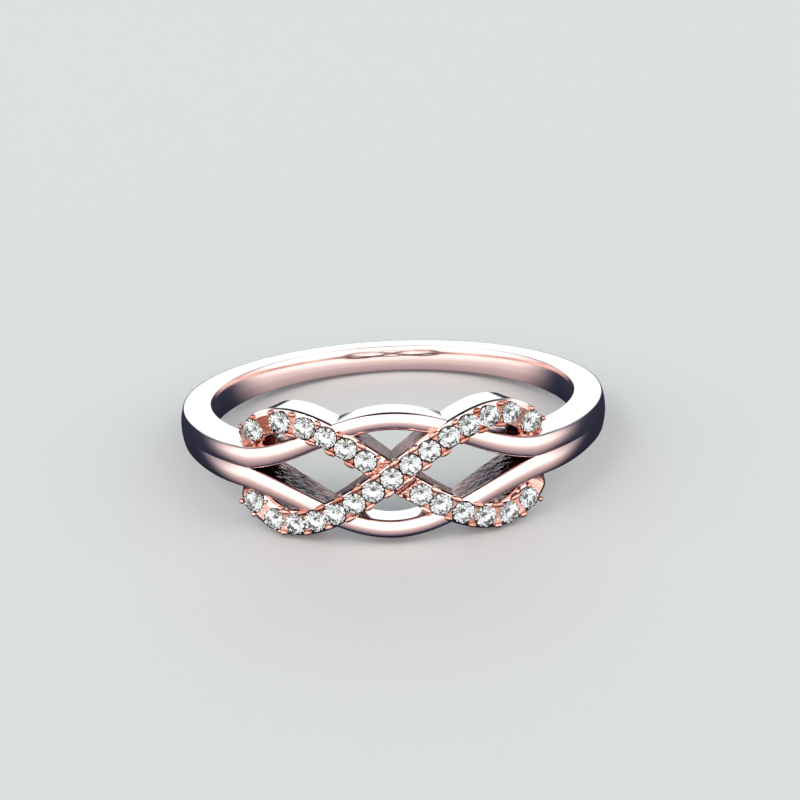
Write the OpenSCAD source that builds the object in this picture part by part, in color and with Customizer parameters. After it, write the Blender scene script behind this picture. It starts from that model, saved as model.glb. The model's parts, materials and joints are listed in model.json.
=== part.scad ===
// Infinity ring. A plain band parts into two polished strands, and a stone-set
// figure of eight weaves over and under them. All metal is one casting, and each
// stone is a piece of its own. The ring lies on its side, as it would on a table,
// resting on the head's lower edge and the back of the band.

/* [Band] */
// Inside diameter of the ring
bore_d = 17.1; // [15:0.1:21]
// Thickness of the metal at the back of the band
back_t = 1.15; // [0.9:0.05:1.5]
// Thickness of the metal at the head, before the strands bend
front_t = 1.64; // [1.4:0.02:2]
// Width of the band at the back
back_w = 1.26; // [1:0.02:1.8]
// Width of the band at the sides
side_w = 1.64; // [1.3:0.02:2.2]
// Height of the polished dome above the edges of the band
dome_h = 0.14; // [0.08:0.01:0.25]

/* [Plain strands] */
// Width of each strand at the middle of the head
strand_w = 0.86; // [0.7:0.02:1.1]
// Distance between the strands at the middle of the head, from centre to centre
strand_spread = 5.16; // [4.6:0.02:5.8]
// How far the strands rise where they pass over the ends of the figure of eight
strand_rise = 0.24; // [0.16:0.02:0.4]
// How far the strands dip where they pass under its arms
strand_dip = 0.25; // [0.1:0.01:0.3]

/* [Figure of eight] */
// Distance across each loop, from centre line to centre line
loop_w = 4.8; // [4.2:0.05:5.4]
// Wall beside the stones, on each side of the setting
rim = 0.11; // [0.08:0.01:0.18]
// Height of the stones' tables above the bore at the ends of the loops
end_h = 1.75; // [1.6:0.01:1.9]
// How much higher the long arm's tables are at the crossing
long_lift = 0.25; // [0.2:0.01:0.4]
// How much higher the short arms' tables are near the crossing
short_lift = 0.1; // [0.08:0.01:0.18]
// Diameter of a claw
claw_d = 0.4; // [0.3:0.02:0.5]

/* [Stones] */
// Diameter of a stone
stone_d = 1.03; // [0.9:0.01:1.2]
// Smallest gap between two stones
stone_gap = 0.03; // [0.03:0.005:0.1]
// Gap between a stone and its seat
seat_gap = 0.025; // [0.02:0.005:0.04]

/* [Hidden] */
// Stones on the long arm, from one loop to the other, and on each short arm
LONG_COUNT = 15;
SHORT_COUNT = 6;
METAL = [0.86, 0.62, 0.54];
STONE = [0.93, 0.95, 0.97];

// The ring's own frame: the bore runs along Z, the head is at -Y, and a point on
// it is given by its angle from the middle of the head and its height along Z.
bore_r = bore_d / 2;
back_half_w = back_w / 2;
side_half_w = side_w / 2;
// The edge of the band's outer face is a circle shifted towards the head.
edge_r = bore_r + (back_t + front_t) / 2;
edge_shift = (front_t - back_t) / 2;
// Everything starts below the bore, which then cuts it to a true cylinder.
inner_r = bore_r - 0.3;

// Proportions of a round brilliant, as shares of its diameter
TABLE_SHARE = 0.57;
CROWN_SHARE = 0.155;
GIRDLE_SHARE = 0.03;
PAVILION_SHARE = 0.43;
STAR_SHARE = 0.5;
LOWER_SHARE = 0.78;
girdle_r = stone_d / 2;
table_r = girdle_r * TABLE_SHARE;
crown_h = stone_d * CROWN_SHARE;
girdle_h = stone_d * GIRDLE_SHARE;
pavilion_h = stone_d * PAVILION_SHARE;

// Places of the stones along an arm, outwards from its first stone, counted in
// stones with their gap. They were set by eye, so the steps grow unevenly.
LONG_PLACES = [0, 1, 2, 3.03, 4.03, 5.03, 6.14, 7.4];
LEFT_PLACES = [0, 1, 2, 3.02, 4.22, 5.83];
RIGHT_PLACES = [0, 1, 2.1, 3.17, 4.35, 5.49];
stone_pitch = stone_d + stone_gap;
ribbon_half_w = stone_d / 2 + rim;
head_w = max(strand_spread + strand_w, loop_w + 2 * ribbon_half_w);
// Metal between the long arm and the first stone of each short arm
LEFT_LAND = 0.28;
RIGHT_LAND = 0.45;

// The figure of eight's centre line on a cylinder of radius pattern_r. Half its
// length follows the long row, and a second wave straightens the arms.
PATTERN_DEPTH = 1.75;
pattern_r = bore_r + PATTERN_DEPTH;
half_len = 0.985 * LONG_PLACES[7] * stone_pitch;
half_turn = half_len / pattern_r * 180 / PI;
ARM_WAVE = 0.065;
function line_x(t) = half_len * cos(t);
function line_z(t) = loop_w / 2 * (sin(2 * t) - ARM_WAVE * sin(4 * t));
function line_point(t) = [line_x(t), line_z(t)];
function line_turn(t) = half_turn * cos(t);
function line_way(t) = let (step = line_point(t + 0.5) - line_point(t - 0.5)) step / norm(step);

// Length along the line from the crossing at 90 degrees, and the way back
LINE_STEP = 2;
function line_sums(t, sum) =
    t < LINE_STEP ? [[sum, t]]
    : concat([[sum, t]], line_sums(t - LINE_STEP, sum + norm(line_point(t - LINE_STEP) - line_point(t))));
LINE_LENGTHS = line_sums(90, 0);
function line_t(length) = lookup(length, LINE_LENGTHS);

// Height of a stone's table above the axis. The long arm runs from 0 to 180
// degrees of the line, and the short arms from 180 to 360.
function table_h(t) =
    bore_r + end_h + (sin(t) > 0 ? long_lift * pow(sin(t), 6) : short_lift * pow(sin(t), 2));

// The stones of each arm, as places on the line
function places_to_t(places, start) = [for (p = places) line_t(start + p * stone_pitch)];
function short_places(places, land) = places_to_t(places, ribbon_half_w + land + girdle_r);
LONG_HALF = places_to_t(LONG_PLACES, 0);
LONG_STONES = concat([for (i = [7:-1:1]) 180 - LONG_HALF[i]], [for (i = [0:7]) LONG_HALF[i]]);
LEFT_HALF = short_places(LEFT_PLACES, LEFT_LAND);
LEFT_STONES = [for (i = [SHORT_COUNT - 1:-1:0]) 180 + LEFT_HALF[i]];
RIGHT_STONES = [for (t = short_places(RIGHT_PLACES, RIGHT_LAND)) 360 - t];

function smooth(x) = let (c = min(1, max(0, x))) c * c * (3 - 2 * c);
// One at the middle of a range of angles and nothing at its ends
function swell(turn, middle, reach) = abs(turn - middle) < reach ? pow(cos(90 * (turn - middle) / reach), 2) : 0;

// The band's edges: its radius and its half width at an angle from the head
function band_r(turn) = edge_shift * cos(turn) + sqrt(pow(edge_r, 2) - pow(edge_shift * sin(turn), 2));
function band_half_w(turn) =
    side_half_w + (side_half_w - back_half_w) * band_r(turn) * cos(turn) / (bore_r + back_t);

// A strand runs beside its twin along the band, and swings away at the head.
function off_head(turn) = abs(turn > 180 ? turn - 360 : turn);
function swing(turn) = swell(off_head(turn), 0, half_turn);
function strand_out(turn) =
    band_half_w(turn) + ((strand_spread + strand_w) / 2 - band_half_w(turn)) * swing(turn);
WELD = 0.04;
function strand_in(turn) = -WELD + ((strand_spread - strand_w) / 2 + WELD) * swing(turn);
function strand_r(turn) =
    band_r(turn) + strand_rise * swell(off_head(turn), 0.955 * half_turn, 0.67 * half_turn)
    - strand_dip * swing(turn);
// The groove between the strands starts at the ring's sides and deepens.
function groove(turn) = smooth((1.6 - off_head(turn) / half_turn) / 0.5);

DOME_STEPS = 5;
function strand_dome(turn, u) =
    let (z = strand_in(turn) + u * (strand_out(turn) - strand_in(turn)), split = groove(turn))
    let (whole = 1 - pow(z / band_half_w(turn), 2), own = 1 - pow(2 * u - 1, 2))
    [strand_r(turn) + dome_h * ((1 - split) * whole + split * own), z];
function strand_section(turn) = concat(
    [[inner_r, strand_in(turn)]],
    [for (k = [0:DOME_STEPS]) strand_dome(turn, k / DOME_STEPS)],
    [[inner_r, strand_out(turn)]]
);
HEAD_TURN = 75;
HEAD_STEP = 3;
BACK_STEPS = 25;
STRAND_TURNS = concat(
    [for (a = [-HEAD_TURN:HEAD_STEP:HEAD_TURN]) a],
    [for (i = [1:BACK_STEPS - 1]) HEAD_TURN + i * (360 - 2 * HEAD_TURN) / BACK_STEPS]
);

function on_ring(turn, r, z) = [r * sin(turn), -r * cos(turn), z];

// Triangles between rings of points. The last ring joins the first one if the
// sweep is closed, and otherwise both ends get a cap.
function sweep_faces(rings, m, closed) = concat(
    [for (i = [0:rings - (closed ? 1 : 2)], k = [0:m - 1])
        [i * m + k, i * m + (k + 1) % m, ((i + 1) % rings) * m + (k + 1) % m]],
    [for (i = [0:rings - (closed ? 1 : 2)], k = [0:m - 1])
        [i * m + k, ((i + 1) % rings) * m + (k + 1) % m, ((i + 1) % rings) * m + k]],
    closed ? [] : [[for (k = [m - 1:-1:0]) k]],
    closed ? [] : [[for (k = [0:m - 1]) (rings - 1) * m + k]]
);

module upper_strand() {
    sections = [for (a = STRAND_TURNS) strand_section(a)];
    points = [for (i = [0:len(STRAND_TURNS) - 1], p = sections[i]) on_ring(STRAND_TURNS[i], p[0], p[1])];
    polyhedron(points, sweep_faces(len(STRAND_TURNS), DOME_STEPS + 3, true));
}

// One arm of the figure of eight: a straight-walled ribbon that carries the
// stones, and sinks at the loops' ends to pass under the plain strands.
END_DIP = 0.35;
// The stones turn to the front by this share of their angle from the middle.
CANT = 0.4;
ARM_STEP = 3;
function ribbon_top(t) =
    table_h(t) - crown_h - END_DIP * (1 - smooth((abs(sin(t)) - 0.2) / 0.12));
function ribbon_section(t) =
    let (side = ribbon_half_w * [-line_way(t)[1], line_way(t)[0]], p = line_point(t))
    let (top = ribbon_top(t), tilt = side[0] * tan(CANT * line_turn(t)))
    [for (c = [[1, inner_r], [-1, inner_r], [-1, top - tilt], [1, top + tilt]])
        on_ring((p[0] + c[0] * side[0]) / pattern_r * 180 / PI, c[1], p[1] + c[0] * side[1])];
module arm_ribbon(start) {
    ts = [start:ARM_STEP:start + 180];
    points = [for (t = ts, p = ribbon_section(t)) p];
    polyhedron(points, sweep_faces(180 / ARM_STEP + 1, 4, false));
}

// Puts a piece on a stone's place on the line, its Z axis out of the table and
// its X axis along the arm.
module at_line(t) {
    way = line_way(t);
    rotate([90, 0, line_turn(t)])
        translate([0, line_point(t)[1], table_h(t)])
            rotate([0, -CANT * line_turn(t), 0])
                rotate([0, 0, atan2(way[1], way[0])])
                    children();
}

// Claws stand in pairs between the stones and past both ends of a row.
CLAW_LOW = 0.3;
claw_side = ribbon_half_w - 0.42 * claw_d;
module claw() {
    r = claw_d / 2;
    rotate_extrude($fn = 8)
        polygon([[0, -CLAW_LOW], [r, -CLAW_LOW], [r, crown_h * 0.5], [r * 0.62, crown_h * 0.85], [0, crown_h * 0.9]]);
}
module row_claws(stones) {
    n = len(stones);
    first = stones[0] - (stones[1] - stones[0]) / 2;
    last = stones[n - 1] + (stones[n - 1] - stones[n - 2]) / 2;
    places = concat([first], [for (i = [1:n - 1]) (stones[i] + stones[i - 1]) / 2], [last]);
    for (t = places, side = [-1, 1])
        at_line(t) translate([0, side * claw_side, -crown_h]) claw();
}

// Room for one stone: its own outline, larger by the seat gap
module seat() {
    wide = girdle_r + seat_gap;
    rotate_extrude($fn = 16)
        polygon([
            [0, -crown_h - girdle_h - pavilion_h - seat_gap],
            [wide, -crown_h - girdle_h - seat_gap],
            [wide, -crown_h + seat_gap],
            [table_r + seat_gap, seat_gap],
            [0, seat_gap]
        ]);
}

// A round brilliant with its table at Z = 0: 8 stars, 8 kites and 16 upper
// facets, a girdle of 16 sides, 16 lower facets and 8 pavilion kites.
function ring_of(r, z, n, first) = [for (k = [0:n - 1]) [r * cos(first + k * 360 / n), r * sin(first + k * 360 / n), z]];
module brilliant() {
    table_mid = table_r * cos(22.5);
    star_r = table_mid + STAR_SHARE * (girdle_r - table_mid);
    star_z = -crown_h * (star_r * cos(22.5) - table_r) / (girdle_r - table_r);
    lower_r = (1 - LOWER_SHARE) * girdle_r;
    lower_z = -crown_h - girdle_h - pavilion_h * (1 - lower_r * cos(22.5) / girdle_r);
    points = concat(
        ring_of(table_r, 0, 8, 0),
        ring_of(star_r, star_z, 8, 22.5),
        ring_of(girdle_r, -crown_h, 16, 0),
        ring_of(girdle_r, -crown_h - girdle_h, 16, 0),
        ring_of(lower_r, lower_z, 8, 22.5),
        [[0, 0, -crown_h - girdle_h - pavilion_h]]
    );
    star = 8;
    upper = 16;
    under = 32;
    low = 48;
    culet = 56;
    faces = concat(
        [[for (k = [7:-1:0]) k]],
        [for (k = [0:7]) [k, (k + 1) % 8, star + k]],
        [for (k = [0:7]) [k, star + k, upper + 2 * k]],
        [for (k = [0:7]) [k, upper + 2 * k, star + (k + 7) % 8]],
        [for (k = [0:7]) [star + k, upper + 2 * k + 1, upper + 2 * k]],
        [for (k = [0:7]) [star + k, upper + (2 * k + 2) % 16, upper + 2 * k + 1]],
        [for (k = [0:15]) [upper + k, upper + (k + 1) % 16, under + (k + 1) % 16]],
        [for (k = [0:15]) [upper + k, under + (k + 1) % 16, under + k]],
        [for (k = [0:7]) [low + k, under + 2 * k, under + 2 * k + 1]],
        [for (k = [0:7]) [low + k, under + 2 * k + 1, under + (2 * k + 2) % 16]],
        [for (k = [0:7]) [culet, under + 2 * k, low + k]],
        [for (k = [0:7]) [culet, low + (k + 7) % 8, under + 2 * k]]
    );
    polyhedron(points, faces);
}

// How the ring lies: it leans on the back edge of the band and the lowest inner
// edge of the loops or strands, so the lean is the largest that any of them asks.
back_edge_r = bore_r + back_t;
function lean_at(y, z) = atan2(-z - back_half_w, back_edge_r - y);
lean = max(concat(
    [for (a = [0:1:60]) lean_at(-bore_r * cos(a), -strand_out(a))],
    [for (t = [90:1:180]) let (way = line_way(t), p = line_point(t) - ribbon_half_w * [-way[1], way[0]])
        lean_at(-bore_r * cos(p[0] / pattern_r * 180 / PI), p[1])],
    [for (t = [90:1:180]) let (way = line_way(t), p = line_point(t) + ribbon_half_w * [-way[1], way[0]])
        lean_at(-bore_r * cos(p[0] / pattern_r * 180 / PI), p[1])]
));
lift = back_edge_r * sin(lean) + back_half_w * cos(lean);
front_reach = table_h(90) * cos(lean);
back_reach = (back_edge_r + dome_h) * cos(lean);
module at_rest() {
    translate([0, (front_reach - back_reach) / 2, lift]) rotate([-lean, 0, 0]) children();
}

module ring_metal() {
    color(METAL) at_rest() difference() {
        // The casting's facets are welded into one shell, at their own size.
        resize([0, 0, 0]) difference() {
            union() {
                upper_strand();
                rotate([0, 180, 0]) upper_strand();
                arm_ribbon(0);
                arm_ribbon(180);
                row_claws(LONG_STONES);
                row_claws(LEFT_STONES);
                row_claws(RIGHT_STONES);
            }
            for (t = concat(LONG_STONES, LEFT_STONES, RIGHT_STONES))
                at_line(t) seat();
        }
        cylinder(h = 2 * head_w, r = bore_r, center = true, $fn = 128);
    }
}

module stone_at(t) {
    color(STONE) at_rest() at_line(t) brilliant();
}
module long_arm_stone(i) { stone_at(LONG_STONES[i - 1]); }
module left_arm_stone(i) { stone_at(LEFT_STONES[i - 1]); }
module right_arm_stone(i) { stone_at(RIGHT_STONES[i - 1]); }

ring_metal();
for (i = [1:LONG_COUNT])
    long_arm_stone(i);
for (i = [1:SHORT_COUNT])
    left_arm_stone(i);
for (i = [1:SHORT_COUNT])
    right_arm_stone(i);
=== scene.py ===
"""An infinity ring lying on a pale table: a plain band that parts into two polished
strands, woven through a figure of eight set with small round stones."""
import json
import math

import bmesh
import bpy
import numpy as np
from mathutils import Matrix, Vector

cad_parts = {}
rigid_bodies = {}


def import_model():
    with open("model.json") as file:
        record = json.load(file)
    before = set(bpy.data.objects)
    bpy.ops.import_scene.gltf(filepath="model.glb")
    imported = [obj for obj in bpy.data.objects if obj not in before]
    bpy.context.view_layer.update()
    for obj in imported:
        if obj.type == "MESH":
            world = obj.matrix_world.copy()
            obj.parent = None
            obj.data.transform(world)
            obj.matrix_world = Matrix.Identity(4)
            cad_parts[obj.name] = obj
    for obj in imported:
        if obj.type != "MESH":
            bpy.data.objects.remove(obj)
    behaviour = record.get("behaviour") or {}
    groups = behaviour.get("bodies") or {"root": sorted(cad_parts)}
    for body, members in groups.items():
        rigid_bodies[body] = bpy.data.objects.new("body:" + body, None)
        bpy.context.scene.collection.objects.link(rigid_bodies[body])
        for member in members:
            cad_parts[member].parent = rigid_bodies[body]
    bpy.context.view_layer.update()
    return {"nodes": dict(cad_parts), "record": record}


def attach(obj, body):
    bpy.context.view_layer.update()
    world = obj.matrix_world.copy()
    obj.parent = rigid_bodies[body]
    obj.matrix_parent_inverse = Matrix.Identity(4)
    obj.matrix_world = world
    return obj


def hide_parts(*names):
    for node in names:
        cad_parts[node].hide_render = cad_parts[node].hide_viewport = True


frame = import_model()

SCENE = bpy.context.scene

# Sizes, in mm.
# The ring's own frame: the bore runs along Z and the head is at -Y. These are the
# sizes of the CAD model, so that the metal here lies where its node does.
BORE_R = 8.55
BACK_T, FRONT_T = 1.15, 1.64
BACK_HALF_W, SIDE_HALF_W = 0.63, 0.82
DOME_H = 0.14
STRAND_W, STRAND_SPREAD = 0.86, 5.16
STRAND_RISE, STRAND_DIP = 0.24, 0.25
LOOP_W = 4.8
RIM = 0.11
END_H, LONG_LIFT, SHORT_LIFT = 1.75, 0.25, 0.1
STONE_D, STONE_GAP = 1.03, 0.03
ARM_WAVE = 0.065
END_DIP = 0.35
# The stones turn to the front by this share of their angle from the middle.
CANT = 0.4
# Places of the stones along an arm, in stones with their gap
LONG_PLACES = [0, 1, 2, 3.03, 4.03, 5.03, 6.14, 7.4]
LEFT_PLACES = [0, 1, 2, 3.02, 4.22, 5.83]
RIGHT_PLACES = [0, 1, 2.1, 3.17, 4.35, 5.49]
LEFT_LAND, RIGHT_LAND = 0.28, 0.45

EDGE_R = BORE_R + (BACK_T + FRONT_T) / 2
EDGE_SHIFT = (FRONT_T - BACK_T) / 2
# The swept forms reach this far into the bore, which is cut out last.
INTO_BORE = 0.3
INNER_R = BORE_R - INTO_BORE
# A stone's table, and the heights of its parts, as shares of its diameter
TABLE_SHARE, CROWN_SHARE, GIRDLE_SHARE, PAVILION_SHARE = 0.57, 0.155, 0.03, 0.43
GIRDLE_R = STONE_D / 2
TABLE_R = GIRDLE_R * TABLE_SHARE
CROWN_H, GIRDLE_H, PAVILION_H = STONE_D * CROWN_SHARE, STONE_D * GIRDLE_SHARE, STONE_D * PAVILION_SHARE
PITCH = STONE_D + STONE_GAP
RIBBON_HALF_W = GIRDLE_R + RIM
# Lengths around the ring are measured at this height over the bore.
PATTERN_H = 1.75
PATTERN_R = BORE_R + PATTERN_H
# The loop's end lies a little before the last stone's place along the line.
END_SHARE = 0.985
HALF_LEN = END_SHARE * LONG_PLACES[-1] * PITCH
HALF_TURN = math.degrees(HALF_LEN / PATTERN_R)
# The sweeps go round the ring, and along the figure, in steps of this many degrees.
STEP = 1.5

# Where the ring lies: the bore's centre, and how far its axis leans
BORE = frame["record"]["mounts"][0]
CENTRE = Vector(BORE["pos_m"])
LEAN = math.atan2(BORE["axis"][1], BORE["axis"][2])


def sind(a):
    return np.sin(np.radians(a))


def cosd(a):
    return np.cos(np.radians(a))


def smooth(x):
    c = np.clip(x, 0, 1)
    return c * c * (3 - 2 * c)


def swell(turn, middle, reach):
    off = np.abs(turn - middle)
    return np.where(off < reach, cosd(90 * off / reach) ** 2, 0.0)


# The figure's centre line.
def line_point(t):
    return np.array([HALF_LEN * cosd(t), LOOP_W / 2 * (sind(2 * t) - ARM_WAVE * sind(4 * t))])


def line_way(t):
    step = line_point(t + 0.5) - line_point(t - 0.5)
    return step / np.linalg.norm(step, axis=0)


def line_t(length):
    """The place on the line at a length from the crossing, measured in 2 degree steps."""
    ts = np.arange(90, -1, -2.0)
    points = line_point(ts)
    sums = np.concatenate([[0], np.cumsum(np.linalg.norm(np.diff(points), axis=0))])
    return np.interp(length, sums, ts)


def line_length(a, b):
    """The straight distance between two places on the line."""
    return float(np.linalg.norm(line_point(a) - line_point(b)))


def table_h(t):
    s = sind(t)
    return BORE_R + END_H + np.where(s > 0, LONG_LIFT * s**6, SHORT_LIFT * s**2)


LONG_HALF = [line_t(p * PITCH) for p in LONG_PLACES]
LONG_STONES = [180 - t for t in LONG_HALF[:0:-1]] + LONG_HALF
SHORT_START = RIBBON_HALF_W + GIRDLE_R
LEFT_STONES = [180 + line_t(SHORT_START + LEFT_LAND + p * PITCH) for p in LEFT_PLACES[::-1]]
RIGHT_STONES = [360 - line_t(SHORT_START + RIGHT_LAND + p * PITCH) for p in RIGHT_PLACES]


# Band and strands.
def band_r(turn):
    return EDGE_SHIFT * cosd(turn) + np.sqrt(EDGE_R**2 - (EDGE_SHIFT * sind(turn)) ** 2)


def band_half_w(turn):
    return SIDE_HALF_W + (SIDE_HALF_W - BACK_HALF_W) * band_r(turn) * cosd(turn) / (BORE_R + BACK_T)


def swing(turn):
    return swell(np.abs(turn), 0, HALF_TURN)


WELD = 0.04
# Where the strands stand highest and how far the rise reaches, and where the groove
# between them starts and how soon it is full, all as shares of HALF_TURN.
RISE_AT, RISE_REACH = 0.955, 0.67
SPLIT_FROM, SPLIT_FADE = 1.6, 0.5


def strand_out(turn):
    w = band_half_w(turn)
    return w + ((STRAND_SPREAD + STRAND_W) / 2 - w) * swing(turn)


def strand_in(turn):
    return np.maximum(0, -WELD + ((STRAND_SPREAD - STRAND_W) / 2 + WELD) * swing(turn))


def strand_r(turn):
    rise = STRAND_RISE * swell(np.abs(turn), RISE_AT * HALF_TURN, RISE_REACH * HALF_TURN)
    return band_r(turn) + rise - STRAND_DIP * swing(turn)


def groove(turn):
    return smooth((SPLIT_FROM - np.abs(turn) / HALF_TURN) / SPLIT_FADE)


def dome_r(turn, z):
    inner, outer = strand_in(turn), strand_out(turn)
    own = 1 - (2 * (z - inner) / (outer - inner) - 1) ** 2
    whole = 1 - (z / band_half_w(turn)) ** 2
    split = groove(turn)
    return strand_r(turn) + DOME_H * ((1 - split) * whole + split * own)


def on_ring(turn, r, z):
    return np.stack(np.broadcast_arrays(r * sind(turn), -r * cosd(turn), z), axis=-1)


# The strands' edges are rounded: how far down the wall, and the share of that across the
# top. An inner edge is fully round once its wall stands EDGE_FULL from the middle.
EDGE, EDGE_ACROSS, EDGE_FULL = 0.12, 0.8, 0.1
CORNER_STEPS = 4
DOME_STEPS = 12


def corner(a, c, b):
    """A rounded corner at c, between a and b, as rows of (r, z)."""
    s = np.linspace(0, 1, CORNER_STEPS + 1)[:, None]
    return (1 - s) ** 2 * a + 2 * s * (1 - s) * c + s**2 * b


def strand_section(turn):
    inner, outer = float(strand_in(turn)), float(strand_out(turn))
    soft = EDGE * float(smooth(inner / EDGE_FULL))
    lo, hi = inner + EDGE_ACROSS * soft, outer - EDGE_ACROSS * EDGE

    def at(z):
        return np.array([float(dome_r(turn, z)), z])

    dome = np.array([at(z) for z in np.linspace(lo, hi, DOME_STEPS + 1)])
    first = corner(at(inner) - [soft, 0], at(inner), dome[0])
    last = corner(dome[-1], at(outer), at(outer) - [EDGE, 0])
    return np.concatenate([[[INNER_R, inner]], first[:-1], dome, last[1:], [[INNER_R, outer]]])


# Mesh making.
# The faces' kinds: polished; as cast, whose dark colour is painted shade; and round the stones, whose darker,
# redder colour is painted shade and painted inter-reflection.
POLISHED, CAST_SHADED, SETTING_SHADED = 0, 1, 2


def ring_faces(rings, m, closed):
    """Quads between rings of m points each, and two caps if the sweep is open."""
    faces = []
    for i in range(rings if closed else rings - 1):
        j = (i + 1) % rings
        faces += [(i * m + k, i * m + (k + 1) % m, j * m + (k + 1) % m, j * m + k) for k in range(m)]
    if not closed:
        faces += [tuple(range(m)), tuple((rings - 1) * m + k for k in range(m))]
    return faces


def solid(name, points, faces, kinds=None, merge=0.0):
    """An object with a closed mesh, in mm, its faces turned outwards."""
    mesh = bpy.data.meshes.new(name)
    bm = bmesh.new()
    verts = [bm.verts.new(p) for p in np.asarray(points, float).tolist()]
    for n, f in enumerate(faces):
        face = bm.faces.new([verts[k] for k in f])
        face.material_index = POLISHED if kinds is None else kinds[n]
    if merge:
        bmesh.ops.remove_doubles(bm, verts=bm.verts, dist=merge)
    bmesh.ops.recalc_face_normals(bm, faces=bm.faces)
    bm.to_mesh(mesh)
    bm.free()
    for m in (METAL, CAST_SHADED_METAL, SETTING_SHADED_METAL):
        mesh.materials.append(m)
    obj = bpy.data.objects.new(name, mesh)
    SCENE.collection.objects.link(obj)
    return obj


def combine(target, others, operation):
    """Joins closed meshes to target, or cuts them from it, and deletes them."""
    group = bpy.data.collections.new("operands")
    SCENE.collection.children.link(group)
    for o in others:
        SCENE.collection.objects.unlink(o)
        group.objects.link(o)
    mod = target.modifiers.new("combine", "BOOLEAN")
    mod.operand_type = "COLLECTION"
    mod.collection = group
    mod.operation = operation
    mod.solver = "MANIFOLD"
    bpy.context.view_layer.update()
    result = bpy.data.meshes.new_from_object(target.evaluated_get(bpy.context.evaluated_depsgraph_get()))
    target.modifiers.clear()
    old = target.data
    target.data = result
    bpy.data.meshes.remove(old)
    for o in list(group.objects):
        bpy.data.meshes.remove(o.data)
    bpy.data.collections.remove(group)


def turned(profile, sides, matrix):
    """Points and faces of a profile of (r, z) turned about Z. It starts and ends on the axis."""
    points = [(0, 0, profile[0][1])]
    angles = [2 * math.pi * k / sides for k in range(sides)]
    for r, z in profile[1:-1]:
        points += [(r * math.cos(a), r * math.sin(a), z) for a in angles]
    points.append((0, 0, profile[-1][1]))
    rows = len(profile) - 2
    faces = [(0, 1 + (k + 1) % sides, 1 + k) for k in range(sides)]
    for i in range(rows - 1):
        a, b = 1 + i * sides, 1 + (i + 1) * sides
        faces += [(a + k, a + (k + 1) % sides, b + (k + 1) % sides, b + k) for k in range(sides)]
    top = 1 + (rows - 1) * sides
    faces += [(top + k, top + (k + 1) % sides, len(points) - 1) for k in range(sides)]
    return [matrix @ Vector(p) for p in points], faces


def at_line(t):
    """The frame of a stone on the line: Z out of its table, X along the arm."""
    way, p = line_way(t), line_point(t)
    turn = p[0] / PATTERN_R
    return (
        Matrix.Rotation(turn, 4, "Z")
        @ Matrix.Rotation(math.pi / 2, 4, "X")
        @ Matrix.Translation((0, p[1], float(table_h(t))))
        @ Matrix.Rotation(-CANT * turn, 4, "Y")
        @ Matrix.Rotation(math.atan2(way[1], way[0]), 4, "Z")
    )


# Materials.
def nodes_of(name):
    m = bpy.data.materials.new(name)
    m.use_nodes = True
    return m, m.node_tree.nodes, m.node_tree.links, m.node_tree.nodes["Principled BSDF"]


def rose_gold(name, dark, light, roughness, grain, grain_depth):
    m, nodes, links, shader = nodes_of(name)
    shader.inputs["Metallic"].default_value = 1.0
    place = nodes.new("ShaderNodeTexCoord")
    cloud = nodes.new("ShaderNodeTexNoise")
    cloud.inputs["Scale"].default_value = 350
    cloud.inputs["Detail"].default_value = 4
    links.new(place.outputs["Object"], cloud.inputs["Vector"])
    tint = nodes.new("ShaderNodeValToRGB")
    tint.color_ramp.elements[0].position = 0.35
    tint.color_ramp.elements[0].color = dark + (1,)
    tint.color_ramp.elements[1].position = 0.65
    tint.color_ramp.elements[1].color = light + (1,)
    links.new(cloud.outputs["Fac"], tint.inputs["Fac"])
    links.new(tint.outputs["Color"], shader.inputs["Base Color"])
    gloss = nodes.new("ShaderNodeMapRange")
    gloss.inputs["To Min"].default_value = roughness * 0.8
    gloss.inputs["To Max"].default_value = roughness * 1.2
    links.new(cloud.outputs["Fac"], gloss.inputs["Value"])
    links.new(gloss.outputs["Result"], shader.inputs["Roughness"])
    fine = nodes.new("ShaderNodeTexNoise")
    fine.inputs["Scale"].default_value = grain
    fine.inputs["Detail"].default_value = 3
    links.new(place.outputs["Object"], fine.inputs["Vector"])
    bump = nodes.new("ShaderNodeBump")
    bump.inputs["Strength"].default_value = 1.0
    bump.inputs["Distance"].default_value = grain_depth
    links.new(fine.outputs["Fac"], bump.inputs["Height"])
    links.new(bump.outputs["Normal"], shader.inputs["Normal"])
    return m


# Name, dark and light tint, roughness, size of the grain (as a scale) and its depth in metres
METAL = rose_gold("rose gold, polished", (0.88, 0.65, 0.60), (0.91, 0.69, 0.65), 0.1, 9000, 1.0e-6)
# As cast: a coarser grain, and a near-black to dark red colour that is painted shade for the walls in the
# openings, the groove and the seats.
CAST_SHADED_METAL = rose_gold("rose gold, as cast, painted shade", (0.05, 0.02, 0.03), (0.40, 0.18, 0.16), 0.1, 3500, 100e-6)
# Round the stones: darker and redder than the polished metal, which is painted shade and painted
# inter-reflection between the stones; it also varies at random.
SETTING_SHADED_METAL = rose_gold(
    "rose gold, round the stones, painted shade", (0.50, 0.17, 0.11), (0.90, 0.58, 0.48), 0.12, 3500, 60e-6
)


def cut_stone():
    m, nodes, links, shader = nodes_of("clear cut stone")
    shader.inputs["IOR"].default_value = 2.15
    shader.inputs["Transmission Weight"].default_value = 1.0
    shader.inputs["Roughness"].default_value = 0.0
    place = nodes.new("ShaderNodeTexCoord")
    cloud = nodes.new("ShaderNodeTexNoise")
    cloud.inputs["Scale"].default_value = 900
    links.new(place.outputs["Object"], cloud.inputs["Vector"])
    tint = nodes.new("ShaderNodeValToRGB")
    tint.color_ramp.elements[0].color = (0.93, 0.95, 0.93, 1)
    tint.color_ramp.elements[1].color = (1.0, 1.0, 0.98, 1)
    links.new(cloud.outputs["Fac"], tint.inputs["Fac"])
    links.new(tint.outputs["Color"], shader.inputs["Base Color"])
    return m


STONE = cut_stone()


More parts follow.
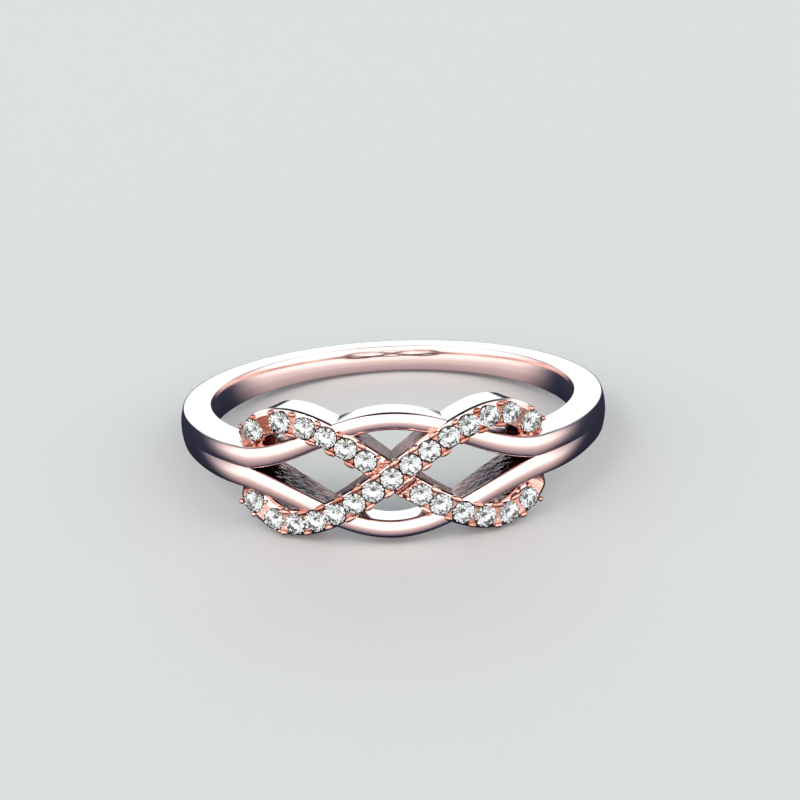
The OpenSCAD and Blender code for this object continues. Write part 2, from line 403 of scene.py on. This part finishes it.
# The metal.
# Beyond this many degrees from the middle, the strands' inner walls are as cast, in a dark colour that is
# painted shade.
CAST_SHADED_FROM = 13
# A point this close to the seam is put on it, and points this close are then merged.
ON_SEAM, SEAM_MERGE = 1e-6, 1e-5


def band_and_strands():
    """One closed mesh: two mirrored halves that share their seam where the band is whole."""
    apart = 90 / HALF_TURN
    split = math.degrees(math.acos(math.sqrt(WELD / ((STRAND_SPREAD - STRAND_W) / 2 + WELD)))) / apart
    turns = sorted(set(np.arange(-180, 180, STEP).tolist()) | {-split, split})
    half = [on_ring(a, s[:, 0], s[:, 1]) for a in turns for s in [strand_section(a)]]
    m = len(half[0])
    half = np.concatenate(half)
    half[np.abs(half[:, 2]) < ON_SEAM, 2] = 0
    faces, kinds = [], []
    for n, f in enumerate(ring_faces(len(turns), m, True)):
        if any(half[k][2] > 0 for k in f):
            i, k = divmod(n, m)
            faces.append(f)
            # Inner walls past that turn get the cast grain and the dark colour of painted shade.
            kinds.append(CAST_SHADED if k == 0 and abs(turns[i]) > CAST_SHADED_FROM else POLISHED)
    both = np.concatenate([half, half * [1, 1, -1]])
    faces += [tuple(k + len(half) for k in f) for f in faces]
    return solid("strands", both, faces, kinds + kinds, merge=SEAM_MERGE)


TOP_SINK = 0.05
# The rim beside the stones falls outwards in two slopes: how far it is in from the
# ribbon's wall, and how far below its top.
RIM_SLOPES = [(0.26, -0.03), (0.06, 0.09), (0.0, 0.2)]
# The ribbon sinks by END_DIP where the sine of t is under DIP_UNDER, and not at all once
# the sine is DIP_FADE above that.
DIP_UNDER, DIP_FADE = 0.2, 0.12
# The middle of each loop, and how far out both walls have the cast grain and a dark colour
# that is painted shade, along the head from the crossing
LOOP_EYE, CAST_SHADED_MIDDLE = 5.2, 2.2


def ribbon_top(t):
    return table_h(t) - CROWN_H - TOP_SINK - END_DIP * (1 - smooth((np.abs(sind(t)) - DIP_UNDER) / DIP_FADE))


def faces_eye(t, side):
    """Whether the arm's left edge (1) or right edge (-1) faces the middle of its loop."""
    way, p = line_way(t), line_point(t)
    out = np.array([-way[1], way[0]]) * side
    return np.dot(np.array([math.copysign(LOOP_EYE, p[0]), 0]) - p, out) > 0


def ribbon(name, start):
    """One arm of the figure of eight, its walls towards the openings as cast, in the dark colour of painted
    shade.
    """
    ts = np.arange(start, start + 180 + STEP / 2, STEP)
    points, m = [], 0
    for t in ts:
        way, p, top = line_way(t), line_point(t), float(ribbon_top(t))
        side = np.array([-way[1], way[0]])
        w = RIBBON_HALF_W
        right = np.array([(top - down, w - side_in) for side_in, down in RIM_SLOPES])
        left = right[::-1] * [1, -1]
        top_rows = np.concatenate([left, right])
        top_rows[:, 0] += top_rows[:, 1] * side[0] * math.tan(CANT * p[0] / PATTERN_R)
        rows = np.concatenate([[[INNER_R, -w]], top_rows, [[INNER_R, w]]])
        m = len(rows)
        x, z = p[0] + rows[:, 1] * side[0], p[1] + rows[:, 1] * side[1]
        points.append(on_ring(np.degrees(x / PATTERN_R), rows[:, 0], z))
    faces = ring_faces(len(ts), m, False)
    kinds = []
    for n in range(len(faces)):
        i, k = divmod(n, m)
        # The top between the rims gets the colour round the stones, painted shade and inter-reflection; walls
        # towards an opening or near the crossing get the cast grain and a dark painted shade.
        kind = SETTING_SHADED if k == m // 2 - 1 else POLISHED
        if i < len(ts) - 1 and k in (0, m - 2):
            if faces_eye(ts[i], -1 if k == 0 else 1) or abs(line_point(ts[i])[0]) < CAST_SHADED_MIDDLE:
                kind = CAST_SHADED
        kinds.append(kind)
    return solid(name, np.concatenate(points), faces, kinds)


# The cuts beside the stones: their radius and slope, and how far they reach over the
# girdle's edge and below the girdle
SCOOP_R, SCOOP_SLOPE = 0.24, math.radians(50)
SCOOP_OVER, SCOOP_BELOW = 0.01, 0.03
SCOOP_HALF_LEN = 0.6


def scoops(stones):
    """Cuts beside each stone that leave a post between two stones, on both edges."""
    r = SCOOP_R
    profile = [(0, -SCOOP_HALF_LEN), (r, -SCOOP_HALF_LEN), (r, SCOOP_HALF_LEN), (0, SCOOP_HALF_LEN)]
    made = []
    for t in stones:
        for side in (1, -1):
            low = Vector((0, side * (GIRDLE_R - SCOOP_OVER), -CROWN_H - GIRDLE_H - SCOOP_BELOW))
            centre = low + r * Vector((0, side * math.sin(SCOOP_SLOPE), math.cos(SCOOP_SLOPE)))
            axis = Vector((0, side * math.cos(SCOOP_SLOPE), -math.sin(SCOOP_SLOPE)))
            frame_at = Matrix.Translation(centre) @ axis.to_track_quat("Z", "X").to_matrix().to_4x4()
            points, faces = turned(profile, 32, at_line(t) @ frame_at)
            # The cut faces get the colour round the stones, which is painted shade and inter-reflection.
            made.append(solid("scoop", points, faces, [SETTING_SHADED] * len(faces)))
    return made


CLAW_R, CLAW_STRETCH = 0.125, 2.3
# Heights over the stones' tables: the middle of a claw's round head, and its foot
CLAW_Z, CLAW_FOOT = -0.16, -0.6
# A claw's place beside the line, and its neck's radius as a share of its head's
CLAW_Y, NECK_SHARE = GIRDLE_R + 0.01, 0.85
HEAD_ANGLES = np.radians([-30, -12, 4, 20, 36, 52, 70])
# On a loop's outer edge the claws stand this much further in and are less stretched.
OUTER_IN, OUTER_LESS = 0.06, 0.7
# Stones stand apart from this many pitches on, and each then has round claws of its own.
APART = 1.2
LONE_TURN = math.radians(49)
LONE_R = GIRDLE_R + 0.1
# Stands for the gap past a row's last stone, so that the row's ends count as wide gaps
NO_STONE = 9.0


def claw(t, x, y, stretch, radius=CLAW_R):
    """One claw beside the line at t, stretched along the arm."""
    head = [(radius * math.cos(a), CLAW_Z + radius * math.sin(a)) for a in HEAD_ANGLES]
    profile = [(0, CLAW_FOOT), (NECK_SHARE * radius, CLAW_FOOT)] + head + [(0, CLAW_Z + radius)]
    matrix = at_line(t) @ Matrix.Translation((x, y, 0)) @ Matrix.Diagonal((stretch, 1, 1, 1))
    points, faces = turned(profile, 20, matrix)
    # Claws and lumps get the colour round the stones, which is painted shade and inter-reflection.
    return solid("claw", points, faces, [SETTING_SHADED] * len(faces))


# Further out than this from the crossing, along the head, an arm has an outer edge.
OUTER_FROM = 2.5


def at_loop_outside(t, side):
    """1 on the outer edge of a loop, else 0."""
    return int(not faces_eye(t, side) and abs(line_point(t)[0]) > OUTER_FROM)


def claws(stones):
    """A long claw on each edge between two neighbouring stones, and round ones at wide gaps."""
    places = []
    gaps = [line_length(a, b) for a, b in zip(stones, stones[1:])]
    for a, b, gap in zip(stones, stones[1:], gaps):
        for side in (1, -1):
            if gap < APART * PITCH:
                t = (a + b) / 2
                outer = at_loop_outside(t, side)
                places.append((t, 0.0, side * (CLAW_Y - OUTER_IN * outer), CLAW_STRETCH - OUTER_LESS * outer))
    x, y = LONE_R * math.cos(LONE_TURN), LONE_R * math.sin(LONE_TURN)
    for t, before, after in zip(stones, [NO_STONE] + gaps, gaps + [NO_STONE]):
        for gap, way in ((before, -1), (after, 1)):
            if gap >= APART * PITCH:
                places += [(t, way * x, side * y, 1.0) for side in (1, -1)]
    return [claw(*place) for place in places]


# The land between the long arm and a short arm's first stone: small lumps in a row along
# the long arm's edge, and a groove at the right. A row is its place on the line and its
# lumps' places across the arm. Lengths are from the crossing.
ARMS_ANGLE = math.radians(70)
LUMP_R, LUMP_STRETCH = 0.105, 1.1
LUMP_ROWS = [
    (180 + line_t(0.79), (-0.34, -0.06, 0.22, 0.5)),
    (360 - line_t(0.98), (-0.5, -0.24, 0.02, 0.28)),
]
GROOVE_R, GROOVE_T = 0.11, 360 - line_t(0.78)


def lumps():
    lean = 1 / math.tan(ARMS_ANGLE)
    return [claw(t, lean * y, y, LUMP_STRETCH, LUMP_R) for t, row in LUMP_ROWS for y in row]


def groove_cut():
    """The groove along the long arm's edge, longer than the short arm is wide, its faces coloured dark as
    painted shade.
    """
    axis = Vector((math.cos(ARMS_ANGLE), math.sin(ARMS_ANGLE), 0))
    spot = Matrix.Translation((0, 0, -CROWN_H - TOP_SINK))
    frame_at = spot @ axis.to_track_quat("Z", "X").to_matrix().to_4x4()
    profile = [(0, -1), (GROOVE_R, -1), (GROOVE_R, 1), (0, 1)]
    points, faces = turned(profile, 24, at_line(GROOVE_T) @ frame_at)
    return solid("groove", points, faces, [CAST_SHADED] * len(faces))


SEAT_GAP = 0.05


def seats(stones, gap):
    """Room for the stones, wider than in the CAD model, so that a dark line rings each stone; their faces are
    coloured dark as painted shade.
    """
    wide = GIRDLE_R + gap
    profile = [
        (0, -CROWN_H - GIRDLE_H - PAVILION_H - gap),
        (wide, -CROWN_H - GIRDLE_H - gap),
        (wide, -CROWN_H + gap),
        (TABLE_R + gap, gap),
        (0, gap),
    ]
    made = []
    for t in stones:
        points, faces = turned(profile, 32, at_line(t))
        made.append(solid("seat", points, faces, [CAST_SHADED] * len(faces)))
    return made


# How far the bore widens to the band's edges, and the radius of its rounded edges. They
# end at SOFT_END degrees, before they lie flat in the side faces.
COMFORT, BORE_SOFT = 0.08, 0.06
SOFT_END = 64
# Past an edge the cut runs on straight, over a point BEYOND_EDGE from it, to BORE_END.
BEYOND_EDGE, BORE_END = 0.3, 4.5


def bore():
    """The finger hole, flared a little at the band's edges, which are softly rounded."""
    turns = np.arange(-180, 180, STEP)
    flat = np.linspace(0, 1, 9)
    bend = np.linspace(0, SOFT_END, 4)[1:]
    rows = []
    for a in turns:
        out = float(strand_out(a))
        z = np.concatenate([flat * (out - BORE_SOFT), out - BORE_SOFT + BORE_SOFT * sind(bend)])
        soft_r = BORE_R + COMFORT + BORE_SOFT - BORE_SOFT * cosd(bend)
        r = np.concatenate([BORE_R + COMFORT * flat**2, soft_r])
        z = np.concatenate([z, [out + BEYOND_EDGE, BORE_END]])
        r = np.concatenate([r, [r[-1], r[-1]]])
        rows.append(on_ring(a, np.concatenate([r[:0:-1], r]), np.concatenate([-z[:0:-1], z])))
    m, n = len(rows[0]), len(turns)
    # Each ring of points along Z is open: the quad that would close it is left out.
    faces = [f for f in ring_faces(n, m, True) if f[0] % m != m - 1]
    faces += [tuple(i * m for i in range(n)), tuple(i * m + m - 1 for i in range(n))]
    return solid("bore", np.concatenate(rows), faces)


# The cuts leave some vertices closer together than this.
CLOSEST = 0.0002


def to_world(obj):
    """Merges vertices closer than CLOSEST, lays the ring down and turns mm into metres."""
    bm = bmesh.new()
    bm.from_mesh(obj.data)
    bmesh.ops.remove_doubles(bm, verts=bm.verts, dist=CLOSEST)
    bm.to_mesh(obj.data)
    bm.free()
    obj.data.transform(Matrix.Translation(CENTRE) @ Matrix.Rotation(-LEAN, 4, "X") @ Matrix.Scale(0.001, 4))


# Edges with a turn over this stay crisp.
SHARP_ANGLE = math.radians(24)
ALL_STONES = LONG_STONES + LEFT_STONES + RIGHT_STONES
long_arm = ribbon("long", 0.0)
combine(long_arm, scoops(LONG_STONES), "DIFFERENCE")
short_arms = ribbon("short", 180.0)
combine(short_arms, scoops(LEFT_STONES + RIGHT_STONES) + [groove_cut()], "DIFFERENCE")
ring = band_and_strands()
all_claws = claws(LONG_STONES) + claws(LEFT_STONES) + claws(RIGHT_STONES) + lumps()
combine(ring, [long_arm, short_arms] + all_claws, "UNION")
combine(ring, seats(ALL_STONES, SEAT_GAP) + [bore()], "DIFFERENCE")
to_world(ring)
ring.name = ring.data.name = "ring_metal_finished"
for polygon in ring.data.polygons:
    polygon.use_smooth = True
ring.data.set_sharp_from_angle(angle=SHARP_ANGLE)
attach(ring, "root")
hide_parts("ring_metal")

for name, obj in frame["nodes"].items():
    if "stone" in name:
        for s in obj.material_slots:
            s.material = STONE

# Floor and lights.
floor_mesh = bpy.data.meshes.new("floor")
reach = 2
corners = [(-reach, -reach, 0), (reach, -reach, 0), (reach, reach, 0), (-reach, reach, 0)]
floor_mesh.from_pydata(corners, [], [(0, 1, 2, 3)])
floor = bpy.data.objects.new("floor", floor_mesh)
SCENE.collection.objects.link(floor)
table, _, _, shader = nodes_of("pale table")
shader.inputs["Base Color"].default_value = (0.72, 0.71, 0.70, 1)
shader.inputs["Roughness"].default_value = 0.6
floor_mesh.materials.append(table)

# One small soft lamp, high at the front left, gives the ring its shadow on the floor.
LAMP_PLACE, LAMP_AIM = Vector((-0.25, -0.35, 0.5)), Vector((0, 0, 0.003))
LAMP_SIZE, LAMP_RADIANCE = 0.12, 6.0
light = bpy.data.lights.new("key", "AREA")
light.shape = "RECTANGLE"
light.size = light.size_y = LAMP_SIZE
light.energy = LAMP_RADIANCE * LAMP_SIZE * LAMP_SIZE * math.pi
lamp = bpy.data.objects.new("key", light)
lamp.location = LAMP_PLACE
lamp.rotation_euler = (LAMP_AIM - LAMP_PLACE).to_track_quat("-Z", "Y").to_euler()
SCENE.collection.objects.link(lamp)

# The studio round the ring, as its light by elevation: to the front, to both sides
# and to the back. Each is a list of an elevation in degrees, a brightness and a tint.
WHITE = (1.0, 1.0, 1.0)
PALE = (1.0, 0.97, 0.97)
COOL = (0.72, 0.95, 1.0)
MAUVE = (1.0, 0.9, 0.98)
NAVY = (0.45, 0.55, 1.0)
FRONT_LIGHT = [
    (-90, 0.01, NAVY), (-64, 0.03, NAVY), (-54, 0.08, NAVY), (-44, 0.18, MAUVE), (-30, 0.3, MAUVE),
    (-16, 0.44, PALE), (-5, 0.75, PALE), (5, 0.85, WHITE), (60, 0.85, WHITE), (66, 0.5, WHITE),
    (72, 0.02, NAVY), (90, 0.015, NAVY),
]
SIDE_LIGHT = [(-90, 0.01, NAVY), (-25, 0.04, NAVY), (5, 0.08, NAVY), (40, 0.08, NAVY), (90, 0.03, NAVY)]
BACK_LIGHT = [
    (-90, 0.01, NAVY), (-3, 0.04, NAVY), (1, 0.8, COOL), (26, 0.8, COOL), (40, 0.1, COOL), (90, 0.02, NAVY),
]
# Where the front's light turns to the sides' and the sides' to the back's, by how far a
# direction points to the back: -1 straight to the front, 1 straight to the back
FRONT_TO_SIDE, SIDE_TO_BACK = (-0.1, 0.65), (0.55, 0.8)
STUDIO_STRENGTH = 2.0

world = bpy.data.worlds.new("studio")
SCENE.world = world
world.use_nodes = True
nodes, links = world.node_tree.nodes, world.node_tree.links


def world_math(operation, a, b=0.0):
    node = nodes.new("ShaderNodeMath")
    node.operation = operation
    for socket, value in zip(node.inputs, (a, b)):
        if isinstance(value, float):
            socket.default_value = value
        else:
            links.new(value, socket)
    return node.outputs[0]


def world_ramp(height, stops):
    node = nodes.new("ShaderNodeValToRGB")
    node.color_ramp.interpolation = "EASE"
    elements = node.color_ramp.elements
    while len(elements) < len(stops):
        elements.new(0.5)
    for element, (elevation, brightness, tint) in zip(elements, stops):
        element.position = (1 + math.sin(math.radians(elevation))) / 2
        element.color = [brightness * c for c in tint] + [1]
    links.new(height, node.inputs["Fac"])
    return node.outputs["Color"]


def world_mix(share, a, b):
    node = nodes.new("ShaderNodeMix")
    node.data_type = "RGBA"
    links.new(share, node.inputs[0])
    links.new(a, node.inputs[6])
    links.new(b, node.inputs[7])
    return node.outputs[2]


def world_step(value, start, end):
    node = nodes.new("ShaderNodeMapRange")
    node.interpolation_type = "SMOOTHSTEP"
    node.inputs["From Min"].default_value = start
    node.inputs["From Max"].default_value = end
    links.new(value, node.inputs["Value"])
    return node.outputs["Result"]


direction = nodes.new("ShaderNodeTexCoord").outputs["Generated"]
parts = nodes.new("ShaderNodeSeparateXYZ")
links.new(direction, parts.inputs["Vector"])
x, y, z = parts.outputs
level = world_math("SQRT", world_math("ADD", world_math("MULTIPLY", x, x), world_math("MULTIPLY", y, y)))
behind = world_math("DIVIDE", y, world_math("MAXIMUM", level, 0.001))
height = world_math("MULTIPLY_ADD", z, 0.5)
height.node.inputs[2].default_value = 0.5
front, side = world_ramp(height, FRONT_LIGHT), world_ramp(height, SIDE_LIGHT)
sides = world_mix(world_step(behind, *FRONT_TO_SIDE), front, side)
around = world_mix(world_step(behind, *SIDE_TO_BACK), sides, world_ramp(height, BACK_LIGHT))

# What the stones gather through their facets: a pale patch in front, and a patchwork
# of dark, grey-green and bright fields round it, which gives their crowns a contrast.
PATCH_ELEVATION = math.radians(25)
PATCH_EDGE = (0.84, 0.87)
FIELDS = [
    (0.0, (0.004, 0.006, 0.005)), (0.57, (0.04, 0.05, 0.035)), (0.59, (0.16, 0.18, 0.14)),
    (0.605, (0.5, 0.4, 0.1)), (0.61, (0.55, 0.58, 0.55)),
]
toward = nodes.new("ShaderNodeVectorMath")
toward.operation = "DOT_PRODUCT"
toward.inputs[1].default_value = (0, -math.cos(PATCH_ELEVATION), math.sin(PATCH_ELEVATION))
links.new(direction, toward.inputs[0])
fields = nodes.new("ShaderNodeTexNoise")
fields.inputs["Scale"].default_value = 3.5
fields.inputs["Detail"].default_value = 1
links.new(direction, fields.inputs["Vector"])
patches = nodes.new("ShaderNodeValToRGB")
patches.color_ramp.interpolation = "CONSTANT"
while len(patches.color_ramp.elements) < len(FIELDS):
    patches.color_ramp.elements.new(0.5)
for element, (place, colour) in zip(patches.color_ramp.elements, FIELDS):
    element.position = place
    element.color = colour + (1,)
links.new(fields.outputs["Fac"], patches.inputs["Fac"])
pale = nodes.new("ShaderNodeRGB").outputs[0]
pale.default_value = (0.57, 0.58, 0.60, 1)
gathered = world_mix(world_step(toward.outputs["Value"], *PATCH_EDGE), patches.outputs["Color"], pale)
through = nodes.new("ShaderNodeLightPath").outputs["Is Transmission Ray"]
links.new(world_mix(through, around, gathered), nodes["Background"].inputs["Color"])
nodes["Background"].inputs["Strength"].default_value = STUDIO_STRENGTH
floor.visible_glossy = False
floor.visible_transmission = False

SCENE.view_settings.view_transform = "Standard"

# Camera.
IMAGE_PX, SENSOR_MM = 800, 36
DISTANCE = 0.1976
ELEVATION, AROUND, ROLL = math.radians(17.35), math.radians(1.14), math.radians(-2.66)
PX_PER_MM = 20.986
LOOK_AT_PX = (393.12, 410.28)
lie = Matrix.Rotation(-LEAN, 4, "X")
back = lie @ Vector((
    math.sin(AROUND) * math.cos(ELEVATION),
    -math.cos(AROUND) * math.cos(ELEVATION),
    math.sin(ELEVATION),
))
up = (lie @ Vector((0, 0, 1))).cross(back).cross(back) * -1
up.normalize()
right = up.cross(back)
turn = Matrix((right, up, back)).transposed().to_4x4() @ Matrix.Rotation(ROLL, 4, "Z")
camera_data = bpy.data.cameras.new("camera")
camera_data.sensor_width = SENSOR_MM
camera_data.lens = PX_PER_MM * DISTANCE * 1000 / IMAGE_PX * SENSOR_MM
camera_data.shift_x = (IMAGE_PX / 2 - LOOK_AT_PX[0]) / IMAGE_PX
camera_data.shift_y = (LOOK_AT_PX[1] - IMAGE_PX / 2) / IMAGE_PX
camera_data.clip_start = 0.01
camera = bpy.data.objects.new("camera", camera_data)
camera.matrix_world = Matrix.Translation(CENTRE + back * DISTANCE) @ turn
SCENE.collection.objects.link(camera)
SCENE.camera = camera
